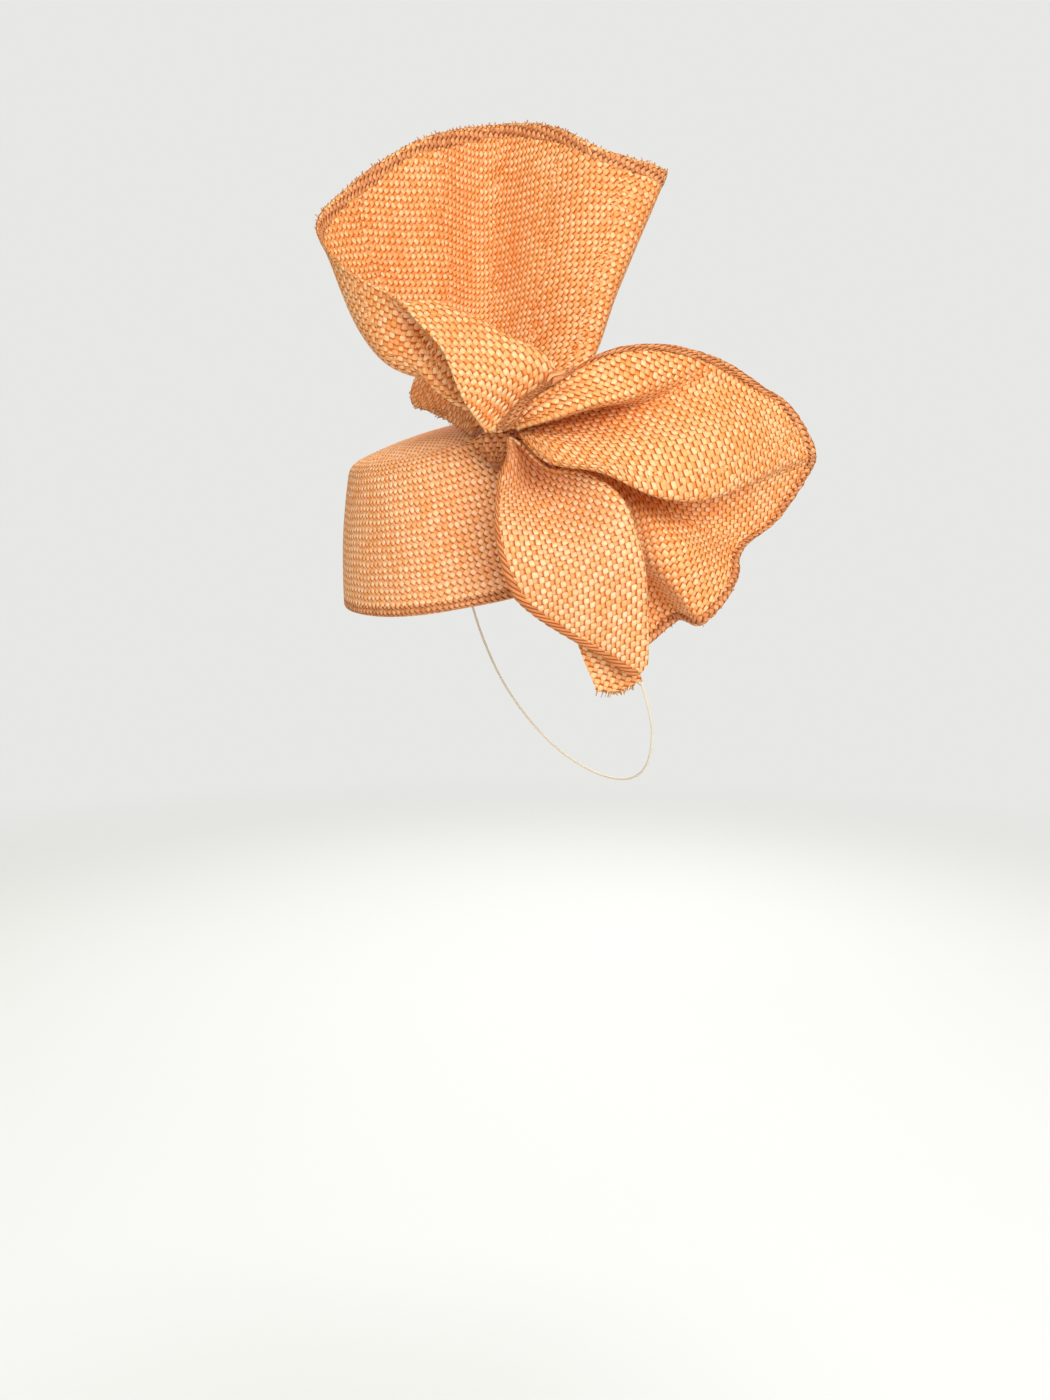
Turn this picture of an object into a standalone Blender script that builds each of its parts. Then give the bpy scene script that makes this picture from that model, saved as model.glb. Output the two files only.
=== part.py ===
"""Straw fascinator: a tilted pillbox cap, a gathered bow of the same straw cloth and a hat elastic.

The frame is the worn one: +Z up, the wearer faces -Y and the wearer's left side is +X.
The origin is the centre of the cap's rim opening, where the head goes in.
"""

import math
from bisect import bisect_right
from collections import namedtuple

import bmesh
import bpy
from mathutils import Matrix, Vector

MM = 0.001

# The cap, in millimetres and degrees
RIM_RADIUS = 79.4
WALL_LEAN = 0.215  # how far the side comes in for each millimetre of height, at the rim
WALL_BOW = 0.0015  # how much that lean grows for each millimetre of height
SIDE_HEIGHT = 64.6
SHOULDER_RADIUS = 9.0
SHOULDER_END = 76.0  # where the shoulder's curve meets the top, from the horizontal
TOP_RINGS = (0.72, 0.42, 0.0)  # rings of the top as shares of its radius
WALL_RINGS = (28.0, 46.0)  # heights between the hem and the shoulder
DOME_RISE = 6.5
CAP_WALL = 1.8
HEM_HEIGHT = 10.0
HEM_EXTRA = 1.2  # the rim is turned under, so it is thicker there
TILT_FORWARD = 19.1
TILT_LEFT = 6.1
CAP_STEPS = 48

# The bow is laid out facing this way round the head, from a knot on the cap's upper left edge
TRIM_TURN = 56.0
KNOT_ACROSS = 8.5
KNOT_OUT = 84.5
KNOT_UP = 50.0
STRAW_CLOTH = 1.4

# The knot, a short gathered roll
KNOT_HALF_WIDTH = 9.0
KNOT_HALF_DEPTH = 13.0
KNOT_HALF_HEIGHT = 6.0
KNOT_OFFSET = (-2.5, -0.8, 3.0)
KNOT_PLEATS = 9
PLEAT_DEPTH = 0.07
KNOT_STEPS = 36
KNOT_RINGS = 9

# The hat elastic
ELASTIC_DIAMETER = 1.5
ELASTIC_POINTS = 76
ELASTIC_SIDES = 2  # the bevel resolution of its round section

# Every cloth section runs from the knot out to the hem. Its stops are (across, up, out) in
# millimetres from the knot, as seen facing the bow; out is towards the one who looks at it.
Section = namedtuple("Section", "root waist belly hem")
Pleat = namedtuple("Pleat", "root waist belly shoulder hem")
Across = namedtuple("Across", "edge hollow crest back")

# From the foot of the lapel round the cone, over its right fold and back behind it
FAN_SECTIONS = (
    Section((0, 3.5, 17), (2, 5, 20), (0, 5, 21.5), (-5, 3, 20)),
    Section((0.5, 5, 14), (9, 13, 16), (17, 24, 20), (-14, 13, 30)),
    Section((1, 6, 11.5), (10, 23, 12), (3, 43, 20), (-23, 33, 36)),
    Section((1, 6, 10.5), (-9, 28, 12), (-17, 52, 24), (-33, 44, 36)),
    Section((0, 6, 9.5), (-20, 24, 14), (-32, 57, 26), (-39, 51, 34)),
    Section((0, 6, 8.5), (-29, 24, 14), (-41, 45, 22), (-46, 58, 28)),
    Section((-0.5, 6, 6.5), (-35, 26, 10), (-51, 43, 16), (-62, 69, 18)),
    Section((-1.5, 6.5, 2.5), (-43, 30, 2), (-61, 51, 4), (-78, 88, 4)),
    Section((-1, 8, -2.5), (-38, 36, -22), (-56, 77, -24), (-69, 122, -20)),
    Section((0.5, 9, -6.5), (-23, 43, -40), (-30, 94, -48), (-35, 152, -40)),
    Section((3, 10, -7.5), (-8, 50, -46), (-7, 107, -58), (-5, 164, -50)),
    Section((5.5, 9.5, -6.5), (9, 46, -40), (17, 98, -46), (24, 157, -40)),
    Section((7.5, 9, -3.5), (26, 39, -20), (39, 86, -26), (50, 140, -26)),
    Section((9.5, 8, -0.5), (38, 37, -16), (54, 80, -28), (76, 135, -32)),
    Section((8.5, 10, -8.5), (39, 43, -40), (54, 84, -62), (72, 130, -70)),
    Section((5, 11.5, -12.5), (24, 39, -54), (33, 73, -82), (41, 113, -98)),
    Section((2, 11.5, -12.5), (2, 36, -58), (-2, 55, -84), (-13, 78, -100)),
    Section((-0.5, 10.5, -10.5), (-20, 35, -48), (-37, 53, -70), (-45, 43, -74)),
    Section((-2, 9.5, -7.5), (-16, 28, -34), (-29, 40, -56), (-39, 27, -52)),
    Section((-3, 8, -4.5), (-9, 19, -18), (-17, 24, -30), (-23, 16, -30)),
    Section((-3, 6.5, -1.5), (-6, 11, -8), (-9, 12, -12), (-14, 8, -14)),
)

# From the upper hem down through the pleats to the lower hem behind the leaf
RUFFLE_PLEATS = (
    Pleat((6, 3, 21.5), (8, 8, 26), (13, 14, 28), (18, 20, 30), (24, 23, 32)),
    Pleat((7, 3.5, 22.5), (14, 10, 28), (25, 16, 32), (38, 22, 34), (55, 35, 28)),
    Pleat((8, 3.5, 22.5), (21, 5, 30), (37, 9, 34), (60, 17, 26), (88, 36, 14)),
    Pleat((8, 4, 16.5), (22, 10, 14), (39, 14, 10), (64, 16, 14), (103, 33, 4)),
    Pleat((8.5, 3.5, 15.5), (22, 5, 16), (41, 8, 14), (68, 10, 18), (117, 27, -4)),
    Pleat((9, 3, 16.5), (24, -4, 28), (47, -6, 30), (83, -1, 22), (132, 19, -10)),
    Pleat((9.5, 2, 16.5), (22, -12, 30), (43, -16, 30), (68, -26, 28), (146, 1, -18)),
    Pleat((9.5, 3, 11.5), (23, -5, 14), (48, -9, 14), (77, -18, 8), (147, -6, -26)),
    Pleat((9.5, 3, 8.5), (26, -5, 6), (52, -12, 0), (87, -27, -4), (134, -27, -28)),
    Pleat((9.5, 2.5, 5.5), (27, -7, 2), (51, -21, 2), (76, -41, 14), (112, -56, -8)),
    Pleat((9.5, 2, 3.5), (26, -9, 0), (48, -28, 0), (69, -53, 12), (93, -78, 2)),
    Pleat((9.2, 1.5, 1.5), (23, -11, -2), (42, -32, -6), (64, -55, -12), (83, -77, -16)),
    Pleat((8.8, 1, 0), (20, -14, -4), (35, -35, -6), (52, -62, -6), (68, -89, -12)),
)

# From the knot down to the leaf's tip, each section across the leaf
LEAF_SECTIONS = (
    Across((4, 0.5, 19.5), (5.5, 0, 18.5), (7, -0.5, 18), (8.5, -1, 17)),
    Across((4, -9, 22.5), (14, -7, 4), (24, -13, 12), (28, -14, 8)),
    Across((0.5, -20, 25.5), (17, -16, 2), (39, -15, 18), (45, -16, 10)),
    Across((-0.5, -34, 27.5), (24, -34, 16), (51, -25, 26), (52, -26, 14)),
    Across((1.5, -51.5, 27.5), (29, -49, 26), (59, -41, 28), (58, -43, 16)),
    Across((10, -70.5, 25.5), (36, -65, 28), (63, -58, 26), (61, -61, 16)),
    Across((27, -83, 23.5), (46, -78, 26), (64, -72, 24), (63, -75, 16)),
    Across((45.5, -93.5, 21.5), (56, -89, 24), (65, -87, 22), (64, -88, 16)),
    Across((60.5, -103, 19.5), (63, -101, 20), (65, -98, 20), (65, -97, 16)),
)

# The cloth's raw end, from behind the leaf down to its frayed edge
TAIL_SECTIONS = (
    Section((29.5, -74, 23), (33, -83, 18), (37, -94, 14), (44, -110, 10)),
    Section((44, -76, 23.5), (46, -85, 20), (50, -97, 14), (53, -110, 10)),
    Section((58.5, -78.5, 18.5), (60, -87, 14), (62, -97, 12), (64, -105, 10)),
)

# The elastic's route round the back of the head, in millimetres in the object's own frame
ELASTIC_ROUTE = (
    (68, 21, 7),
    (69.5, 23.5, -3),
    (71.5, 28, -16),
    (74, 35, -32),
    (75, 44, -56),
    (70, 55, -75),
    (59, 67, -90),
    (40, 79, -110),
    (14, 87, -121),
    (-14, 87, -121),
    (-40, 79, -110),
    (-59, 67, -90),
    (-71, 55, -66),
    (-75, 43, -39),
    (-72.5, 31, -10),
    (-68, 22.5, 12),
    (-65.5, 19.5, 23),
)

# Straw cloth pieces: their sections, how many stations lie round them and how many steps run out
Cloth = namedtuple("Cloth", "name sections stations steps")
CLOTHS = (
    Cloth("upper_fan", FAN_SECTIONS, 56, 13),
    Cloth("side_ruffle", RUFFLE_PLEATS, 52, 13),
    Cloth("front_leaf", LEAF_SECTIONS, 24, 10),
    Cloth("tail_end", TAIL_SECTIONS, 6, 6),
)

STRAW = (0.86, 0.45, 0.19)
STRAW_SHADE = (0.80, 0.38, 0.14)
CREAM = (0.80, 0.72, 0.58)


def clear_scene():
    for obj in list(bpy.data.objects):
        bpy.data.objects.remove(obj, do_unlink=True)


def finish(name, colour, roughness):
    material = bpy.data.materials.new(name)
    material.use_nodes = True
    shader = material.node_tree.nodes["Principled BSDF"]
    shader.inputs["Base Color"].default_value = (*colour, 1.0)
    shader.inputs["Roughness"].default_value = roughness
    shader.inputs["Metallic"].default_value = 0.0
    return material


def marks_along(stops):
    """Where each stop falls on its run, from 0 to 1, by the distances between the stops."""
    marks = [0.0]
    for here, after in zip(stops, stops[1:]):
        marks.append(marks[-1] + max((after - here).length, 1e-3))
    return [mark / marks[-1] for mark in marks]


def point_on(stops, marks, place):
    """The point at a place from 0 to 1 on the smooth curve through the stops."""
    steps = [(b - a) / (n - m) for a, b, m, n in zip(stops, stops[1:], marks, marks[1:])]

    def slope(i):
        if i == 0 or i == len(stops) - 1:
            return steps[min(i, len(steps) - 1)]
        before = marks[i] - marks[i - 1]
        after = marks[i + 1] - marks[i]
        return (steps[i - 1] * after + steps[i] * before) / (before + after)

    i = min(max(bisect_right(marks, place) - 1, 0), len(stops) - 2)
    run = marks[i + 1] - marks[i]
    u = (place - marks[i]) / run
    return (
        stops[i] * (2 * u**3 - 3 * u**2 + 1)
        + slope(i) * (run * (u**3 - 2 * u**2 + u))
        + stops[i + 1] * (3 * u**2 - 2 * u**3)
        + slope(i + 1) * (run * (u**3 - u**2))
    )


def trim_point(across, up, out):
    """A stop of the bow in the trim frame, whose X is across, Z up and -Y out."""
    return Vector((across, -out, up)) * MM


def cloth_lines(sections, stations):
    """The sections' stops, read off smooth curves at evenly spaced stations round the cloth."""
    rows = [[trim_point(*stop) for stop in section] for section in sections]
    ring = [(row[-1] + row[-2]) / 2 for row in rows]
    marks = marks_along(ring)
    columns = list(zip(*rows))
    return [
        [point_on(column, marks, i / stations) for column in columns] for i in range(stations + 1)
    ]


def add_cloth(cloth, frame, material):
    """A sheet of straw cloth as wide as its sections, thickened to a closed wall."""
    stations = cloth.stations
    lines = cloth_lines(cloth.sections, stations)
    marks = [marks_along(line) for line in lines]
    sheet = bmesh.new()
    bmesh.ops.create_grid(sheet, x_segments=stations, y_segments=cloth.steps, size=0.5)
    for vert in sheet.verts:
        station = round((vert.co.x + 0.5) * stations)
        vert.co = point_on(lines[station], marks[station], vert.co.y + 0.5)
    mesh = bpy.data.meshes.new(cloth.name)
    sheet.to_mesh(mesh)
    sheet.free()
    obj = add_object(cloth.name, mesh, material, frame)
    wall = obj.modifiers.new("cloth thickness", "SOLIDIFY")
    wall.thickness = STRAW_CLOTH * MM
    wall.offset = 0.0
    return obj


def add_object(name, mesh, material, parent=None):
    mesh.materials.append(material)
    if hasattr(mesh, "shade_smooth"):
        mesh.shade_smooth()
    obj = bpy.data.objects.new(name, mesh)
    bpy.context.scene.collection.objects.link(obj)
    obj.parent = parent
    return obj


def side_radius(height):
    return RIM_RADIUS - WALL_LEAN * height - WALL_BOW * height**2


def cap_outline(inset):
    """The cap's half outline from the rim to the crown's centre, moved in by a wall thickness."""
    heights = (HEM_HEIGHT, *WALL_RINGS, SIDE_HEIGHT)
    side = [(side_radius(h) - inset, h) for h in heights]
    start = math.atan(WALL_LEAN + 2 * WALL_BOW * SIDE_HEIGHT)
    centre_r = side_radius(SIDE_HEIGHT) - SHOULDER_RADIUS * math.cos(start)
    centre_h = SIDE_HEIGHT - SHOULDER_RADIUS * math.sin(start)
    end = math.radians(SHOULDER_END)
    bend = SHOULDER_RADIUS - inset
    turns = [start + (end - start) * i / 4 for i in range(1, 5)]
    shoulder = [(centre_r + bend * math.cos(a), centre_h + bend * math.sin(a)) for a in turns]
    edge_r, edge_h = shoulder[-1]
    dome = [(edge_r * s, edge_h + DOME_RISE * (1 - s**2)) for s in TOP_RINGS]
    return side + shoulder + dome


def rim_outline():
    """The turned-under rim, from the hem's inside round the fold and up to its outside."""
    thick = CAP_WALL + HEM_EXTRA
    fold = thick / 2
    hem_in = (side_radius(HEM_HEIGHT) - thick, HEM_HEIGHT - 0.5)
    middle = side_radius(fold) - fold
    turns = [math.pi * (1 + i / 4) for i in range(5)]
    bend = [(middle + fold * math.cos(a), fold + fold * math.sin(a)) for a in turns]
    return [hem_in] + bend


def add_crown(material):
    inner = list(reversed(cap_outline(CAP_WALL)))
    outline = inner + rim_outline() + cap_outline(0.0)
    shell = bmesh.new()
    verts = [shell.verts.new((r * MM, 0.0, h * MM)) for r, h in outline]
    edges = [shell.edges.new(pair) for pair in zip(verts, verts[1:])]
    bmesh.ops.spin(
        shell,
        geom=verts + edges,
        cent=(0, 0, 0),
        axis=(0, 0, 1),
        angle=math.tau,
        steps=CAP_STEPS,
        use_merge=True,
    )
    bmesh.ops.remove_doubles(shell, verts=shell.verts, dist=1e-6)
    bmesh.ops.recalc_face_normals(shell, faces=shell.faces)
    mesh = bpy.data.meshes.new("crown")
    shell.to_mesh(mesh)
    shell.free()
    crown = add_object("crown", mesh, material)
    lean = Matrix.Rotation(math.radians(TILT_LEFT), 3, "Y")
    nod = Matrix.Rotation(math.radians(TILT_FORWARD), 3, "X")
    crown.rotation_euler = (nod @ lean).to_euler()
    return crown


def add_knot(material, frame):
    roll = bmesh.new()
    bmesh.ops.create_uvsphere(roll, u_segments=KNOT_STEPS, v_segments=KNOT_RINGS, radius=1.0)
    for vert in roll.verts:
        turn = math.atan2(vert.co.y, vert.co.x)
        girth = math.hypot(vert.co.x, vert.co.y)
        pleat = 1.0 + PLEAT_DEPTH * girth * math.cos(KNOT_PLEATS * turn)
        vert.co.x *= KNOT_HALF_WIDTH * pleat * MM
        vert.co.y *= KNOT_HALF_DEPTH * pleat * MM
        vert.co.z *= KNOT_HALF_HEIGHT * MM
    mesh = bpy.data.meshes.new("knot")
    roll.to_mesh(mesh)
    roll.free()
    knot = add_object("knot", mesh, material, frame)
    knot.location = trim_point(*KNOT_OFFSET)
    return knot


def add_elastic(material):
    route = [Vector(stop) * MM for stop in ELASTIC_ROUTE]
    marks = marks_along(route)
    places = [i / (ELASTIC_POINTS - 1) for i in range(ELASTIC_POINTS)]
    curve = bpy.data.curves.new("elastic", "CURVE")
    curve.dimensions = "3D"
    curve.bevel_depth = ELASTIC_DIAMETER / 2 * MM
    curve.bevel_resolution = ELASTIC_SIDES
    curve.use_fill_caps = True
    line = curve.splines.new("POLY")
    line.points.add(ELASTIC_POINTS - 1)
    for point, place in zip(line.points, places):
        point.co = (*point_on(route, marks, place), 1.0)
    return add_object("elastic", curve, material)


def add_trim_frame():
    """An empty at the knot that the bow hangs from, turned to face the bow."""
    turn = math.radians(TRIM_TURN)
    across = Vector((math.cos(turn), math.sin(turn), 0.0))
    out = Vector((math.sin(turn), -math.cos(turn), 0.0))
    frame = bpy.data.objects.new("trim_frame", None)
    bpy.context.scene.collection.objects.link(frame)
    frame.location = (across * KNOT_ACROSS + out * KNOT_OUT + Vector((0, 0, KNOT_UP))) * MM
    frame.rotation_euler = (0.0, 0.0, turn)
    return frame


def main():
    clear_scene()
    straw = finish("straw", STRAW, 0.55)
    shaded = finish("gathered straw", STRAW_SHADE, 0.6)
    cream = finish("cream elastic", CREAM, 0.8)
    add_crown(straw)
    frame = add_trim_frame()
    for cloth in CLOTHS:
        add_cloth(cloth, frame, straw)
    add_knot(shaded, frame)
    add_elastic(cream)


main()
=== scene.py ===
"""Straw fascinator: the weave, hems, gathers and elastic that dress the solids, on a plain stage.

The frame is the worn one: +Z up, the wearer faces -Y and the wearer's left side is +X.
"""

import math
import random
from bisect import bisect_right
from collections import namedtuple

import bmesh
import bpy
from bpy.props import FloatProperty, FloatVectorProperty, IntProperty, PointerProperty
from bpy.types import Operator, Panel, PropertyGroup
from mathutils import Matrix, Vector, noise


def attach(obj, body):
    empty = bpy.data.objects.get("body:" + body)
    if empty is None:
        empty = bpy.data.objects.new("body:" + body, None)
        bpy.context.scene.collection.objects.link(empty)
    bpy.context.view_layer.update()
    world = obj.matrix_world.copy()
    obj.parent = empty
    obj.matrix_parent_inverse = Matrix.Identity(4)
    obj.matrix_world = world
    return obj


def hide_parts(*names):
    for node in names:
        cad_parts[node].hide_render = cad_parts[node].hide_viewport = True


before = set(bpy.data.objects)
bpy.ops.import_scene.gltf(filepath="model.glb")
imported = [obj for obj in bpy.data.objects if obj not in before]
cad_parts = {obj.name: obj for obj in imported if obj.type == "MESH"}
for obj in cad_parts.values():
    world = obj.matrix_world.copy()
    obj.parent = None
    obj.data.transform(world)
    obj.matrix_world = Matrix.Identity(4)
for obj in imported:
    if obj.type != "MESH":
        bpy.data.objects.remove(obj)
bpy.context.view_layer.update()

bl_info = {
    "name": "Straw Fascinator",
    "version": (1, 0, 0),
    "blender": (4, 5, 0),
    "location": "View3D > Sidebar > Fascinator",
    "description": "Dresses a pillbox cap and its straw bow with cloth, hems, knot and elastic",
    "category": "Object",
}

MM = 0.001
BODY = "root"

# The bow's own frame: X across, Z up and -Y out, from the knot on the cap's upper left edge.
# The camera and the lights face the bow in the same way.
TRIM_TURN = math.radians(56.0)
KNOT_ACROSS = 8.5
KNOT_OUT = 84.5
KNOT_UP = 50.0

# Stops along each section of cloth, as (across, up, out) in millimetres from the knot
Section = namedtuple("Section", "root waist belly hem")
Pleat = namedtuple("Pleat", "root waist belly shoulder hem")
Across = namedtuple("Across", "edge hollow crest back")

# A patch of cloth that lies flat by itself: from one section to another, the degrees between its
# middle section and the straws, and how far the cloth is drawn together across
Patch = namedtuple("Patch", "start stop turn fullness")
PATCH_OVERLAP = 4  # lines of the drape

# From the foot of the lapel round the cone, over its right fold and back behind it
FAN_SECTIONS = (
    Section((0, 3.5, 17), (4.5, 3.5, 20), (1.5, 2, 21.5), (-5, 2, 20)),
    Section((0.5, 5, 14), (12, 13, 17), (24, 25, 19), (-14, 13, 30)),
    Section((1, 6, 11.5), (10, 23, 12), (3, 43, 20), (-23, 33, 36)),
    Section((1, 6, 10.5), (-9, 28, 12), (-17, 52, 24), (-33, 44, 36)),
    Section((0, 6, 9.5), (-20, 24, 14), (-31.5, 54.5, 26), (-39, 51, 34)),
    Section((0, 6, 8.5), (-29, 24, 14), (-41, 45, 22), (-46, 58, 28)),
    Section((-0.5, 6, 6.5), (-25, 24, 9), (-45, 34.5, 15), (-62, 69, 18)),
    Section((-1.5, 6.5, 2.5), (-31, 28.5, 1), (-47.5, 34.5, 3), (-78, 88, 4)),
    Section((-1, 8, -2.5), (-34.5, 38.5, -22), (-56, 77, -24), (-69, 122, -20)),
    Section((0.5, 9, -6.5), (-23, 43, -38), (-31, 94, -44), (-35, 152, -38)),
    Section((3, 10, -7.5), (-8, 50, -50), (-8, 107, -63), (-6, 164, -52)),
    Section((5.5, 9.5, -6.5), (9, 46, -37), (17, 98, -41), (24, 157, -38)),
    Section((7.5, 9, -3.5), (26, 39, -20), (39, 86, -26), (50, 140, -26)),
    Section((9.5, 8, -0.5), (38, 37, -16), (54, 80, -28), (76, 135, -32)),
    Section((8.5, 10, -8.5), (39, 43, -40), (56, 86, -60), (77, 138, -56)),
    Section((5, 11.5, -12.5), (24, 39, -54), (33, 73, -82), (41, 113, -98)),
    Section((2, 11.5, -12.5), (2, 36, -58), (-2, 55, -84), (-13, 78, -100)),
    Section((-0.5, 10.5, -10.5), (-20, 35, -48), (-37, 53, -70), (-45.5, 47, -72)),
    Section((-2, 9.5, -7.5), (-16, 28, -34), (-30, 40, -56), (-44.5, 30, -54)),
    Section((-2.4, 9, -6), (-13, 24, -27), (-24, 32, -44), (-36, 25.5, -46)),
    Section((-3, 8, -4.5), (-9, 19, -18), (-17, 24, -30), (-22.5, 16, -30)),
    Section((-3, 6.5, -1.5), (-6, 11, -8), (-9, 12, -12), (-14, 8, -14)),
)
FAN_PATCHES = (
    Patch(0, 4.3, 22, 1.0),
    Patch(4.3, 6, 40, 1.0),
    Patch(6, 8, 45, 1.05),
    Patch(8, 9.2, 45, 1.1),
    Patch(9.2, 10.2, 45, 1.4),
    Patch(10.2, 11.2, 45, 1.25),
    Patch(11.2, 12.4, 52, 1.1),
    Patch(12.4, 14, 58, 1.0),
    Patch(14, 16, 50, 1.0),
    Patch(16, 18, 45, 1.0),
    Patch(18, 21, 45, 1.0),
)

# From the upper hem down through the pleats to the lower hem behind the leaf
RUFFLE_PLEATS = (
    Pleat((2, 3.5, 22), (6.5, 7.5, 26), (11.5, 13, 28), (17.5, 17.5, 30), (24, 22, 32)),
    Pleat((7, 3.5, 22.5), (14, 10, 28), (25, 16, 32), (38, 22, 34), (55, 35, 28)),
    Pleat((8, 3.5, 22.5), (21, 5, 30), (37, 9, 34), (60, 17, 26), (88, 36, 14)),
    Pleat((8, 4, 16.5), (22, 10, 14), (39, 14, 10), (64, 16, 14), (103, 33, 4)),
    Pleat((8.5, 3.5, 15.5), (22, 5, 16), (41, 8, 14), (68, 10, 18), (117, 27, -4)),
    Pleat((9, 3, 16.5), (24, -4, 28), (47, -6, 30), (83, -1, 22), (132, 19, -10)),
    Pleat((9.5, 2, 16.5), (22, -12, 30), (43, -16, 30), (68, -26, 28), (146, 1, -18)),
    Pleat((9.5, 3, 11.5), (23, -5, 14), (48, -9, 14), (77, -18, 8), (147, -6, -26)),
    Pleat((9.5, 3, 8.5), (26, -5, 6), (52, -12, 0), (87, -27, -4), (134, -27, -28)),
    Pleat((9.5, 2.6, 6), (27, -7, 3), (51, -19.5, 1.5), (77, -38.5, 11), (110, -50, -12)),
    Pleat((9.5, 2.5, 5.5), (27, -7, 2), (51, -21, 2), (76, -41, 14), (109, -56.5, -8)),
    Pleat((9.5, 2, 3.5), (26, -9, 0), (48, -28, 0), (69, -53, 12), (93, -78, 2)),
    Pleat((9.2, 1.5, 1.5), (23, -11, -2), (42, -32, -6), (64, -55, -12), (83, -77, -16)),
    Pleat((8.8, 1, 0), (20, -14, -4), (35, -35, -6), (52, -62, -6), (68, -89, -12)),
)
RUFFLE_PATCHES = (
    Patch(0, 2.7, 40, 1.0),
    Patch(2.7, 5.6, 4, 1.0),
    Patch(5.6, 8.6, 8, 1.0),
    Patch(8.6, 13, 12, 1.0),
)

# From the knot down to the leaf's tip, each section across the leaf
LEAF_SECTIONS = (
    Across((4, 0.5, 19.5), (5.5, 0, 18.5), (7, -0.5, 18), (8.5, -1, 17)),
    Across((4, -9, 22.5), (14, -7, 4), (24, -13, 12), (28, -14, 8)),
    Across((0.5, -20, 25.5), (17, -16, 2), (39, -15, 18), (45, -16, 10)),
    Across((-0.5, -34, 27.5), (24, -34, 16), (51, -25, 26), (52, -26, 14)),
    Across((1.5, -51.5, 27.5), (29, -49, 26), (59, -41, 28), (58, -43, 16)),
    Across((10, -70.5, 25.5), (36, -65, 28), (63, -58, 26), (61, -61, 16)),
    Across((27, -83, 23.5), (46, -78, 26), (64, -72, 24), (63, -75, 16)),
    Across((45.5, -93.5, 21.5), (56, -89, 24), (65, -87, 22), (64, -88, 16)),
    Across((60.5, -103, 19.5), (63, -101, 20), (65, -98, 20), (65, -97, 16)),
)
LEAF_PATCHES = (Patch(0, 8, 4, 1.0),)

# The cloth's raw end, from behind the leaf down to its frayed edge
TAIL_SECTIONS = (
    Section((29.5, -74, 23), (33, -83, 18), (37, -94, 14), (44, -110, 10)),
    Section((44, -76, 23.5), (46, -85, 20), (50, -97, 14), (53, -110, 10)),
    Section((58.5, -78.5, 18.5), (60, -87, 14), (62, -97, 12), (64, -105, 10)),
)
TAIL_PATCHES = (Patch(0, 2, 30, 1.0),)

# The elastic's route round the back of the head, in millimetres
ELASTIC_ROUTE = (
    (68, 21, 7),
    (69.5, 23.5, -3),
    (71.5, 28, -16),
    (74, 35, -32),
    (75, 44, -56),
    (70, 55, -75),
    (59, 67, -90),
    (40, 79, -110),
    (14, 87, -121),
    (-14, 87, -121),
    (-40, 79, -110),
    (-59, 67, -90),
    (-71, 55, -66),
    (-75, 43, -39),
    (-72.5, 31, -10),
    (-68, 22.5, 12),
    (-65.5, 19.5, 23),
)
ELASTIC_POINTS = 76


def length(name, default, description):
    """A length that the panel shows in the scene's own unit."""
    return FloatProperty(
        name=name, description=description, default=default, min=0.0, unit="LENGTH", precision=5
    )


def share(name, default, description):
    """A plain number, mostly from 0 to 1."""
    return FloatProperty(name=name, description=description, default=default)


def colour(name, default, description):
    """A colour of a finish, in linear red, green and blue."""
    return FloatVectorProperty(
        name=name, description=description, default=default, subtype="COLOR", min=0.0, max=1.0
    )


class StrawSizes(PropertyGroup):
    """Sizes of the woven straw."""

    pitch: length("Straw pitch", 0.0023, "From one straw of the cloth to the next")
    cover: share("Cover", 0.85, "How much of the pitch a flat straw covers")
    wander: share("Wander", 0.38, "How far the straws stray from straight, in pitches")
    # Painted shade: the straws that run up the cloth are drawn darker, as they catch less light
    upright_shade: share("Upright Shade", 0.32, "How much deeper the straws that run up the cloth are")
    relief: length("Relief", 0.0008, "How far a straw rises where it passes over another")
    wall: length("Cloth wall", 0.0011, "Thickness of the straw cloth")
    ripple: length("Ripple", 0.0004, "How uneven the cloth is between its folds")


class HemSizes(PropertyGroup):
    """Sizes of the rolled hems."""

    fan_width: length("Fan hem width", 0.0076, "Width of the turned-over hem of the cone")
    fan_thickness: length("Fan hem thickness", 0.0016, "Thickness of the cone's hem")
    rope_width: length("Rope hem width", 0.0054, "Width of the rolled hems of ruffle and leaf")
    rope_thickness: length("Rope hem thickness", 0.0042, "Thickness of the rolled hems")
    lay: length("Stitch spacing", 0.0029, "From one wrapped straw of a hem to the next")
    groove: share("Groove", 0.46, "Depth of the grooves between wrapped straws, as a share")


class CapSizes(PropertyGroup):
    """Sizes of the pillbox cap."""

    rim_radius: length("Rim radius", 0.0794, "Radius of the cap at its rim")
    side_height: length("Side height", 0.0646, "Height of the side below the shoulder")
    lean: share("Lean", 0.215, "How far the side comes in for each unit of height, at the rim")
    bow: share("Bow", 1.5, "How much that lean grows for each metre of height")
    shoulder: length("Shoulder radius", 0.009, "Radius of the edge between side and top")
    dome: length("Dome", 0.0065, "How far the top rises from its edge to its middle")
    wall: length("Wall", 0.0018, "Thickness of the cap")
    hem_height: length("Turned rim", 0.010, "Height of the rim's turned-under cloth")
    hem_extra: length("Rim thickness", 0.0012, "How much thicker the turned rim is")
    tilt_forward: FloatProperty(
        name="Tilt forward",
        description="How far the cap is tilted over the brow",
        default=math.radians(19.1),
        subtype="ANGLE",
    )
    tilt_left: FloatProperty(
        name="Tilt left",
        description="How far the cap is tilted towards the bow",
        default=math.radians(6.1),
        subtype="ANGLE",
    )
    steps: IntProperty(name="Steps", description="Steps round the cap", default=224, min=24)


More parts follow.
